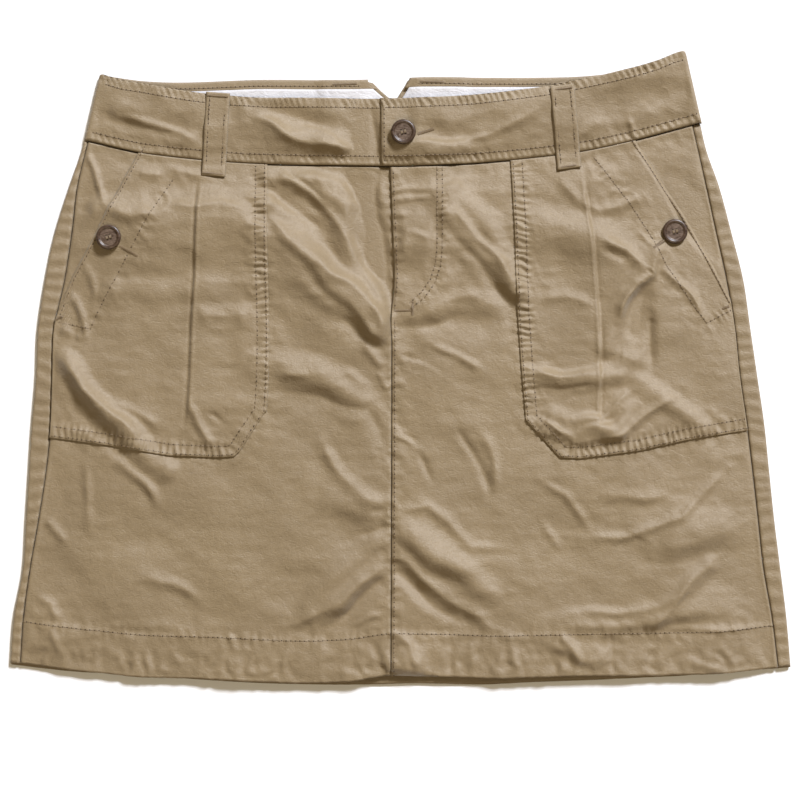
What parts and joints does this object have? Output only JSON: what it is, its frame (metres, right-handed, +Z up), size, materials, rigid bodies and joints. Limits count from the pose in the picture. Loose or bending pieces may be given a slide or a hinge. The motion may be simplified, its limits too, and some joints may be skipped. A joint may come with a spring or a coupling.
{
  "type": "cargo utility skirt",
  "caption": "Short flared cotton twill skirt laid flat, with a notched waistband, belt loops, a fly and large tucked patch pockets with buttons.",
  "frame": {"origin": "middle of the laid skirt's outline, on the surface it lies on", "axes": "+X to the right as seen from above with the waist at the top, +Y towards the waist, +Z up from the surface, out of the front of the skirt"},
  "size_m": [0.5472, 0.4424, 0.012],
  "materials": {
    "khaki_twill": "matte",
    "facing_cotton": "matte",
    "zip_tape": "matte",
    "sewing_thread": "matte",
    "horn_button": "satin"
  },
  "bodies": {
    "root": {"back_panel": "khaki_twill", "front_left": "khaki_twill", "front_right": "khaki_twill", "fly_zip": "zip_tape", "pocket_left": "khaki_twill", "pocket_right": "khaki_twill", "waistband_left": "khaki_twill", "waistband_right": "khaki_twill", "waistband_facing_left": "facing_cotton", "waistband_facing_right": "facing_cotton", "belt_loop_front_left": "khaki_twill", "belt_loop_front_right": "khaki_twill", "belt_loop_back_left": "khaki_twill", "belt_loop_back_right": "khaki_twill", "waist_button": "horn_button", "pocket_button_left": "horn_button", "pocket_button_right": "horn_button"}
  },
  "joints": []
}
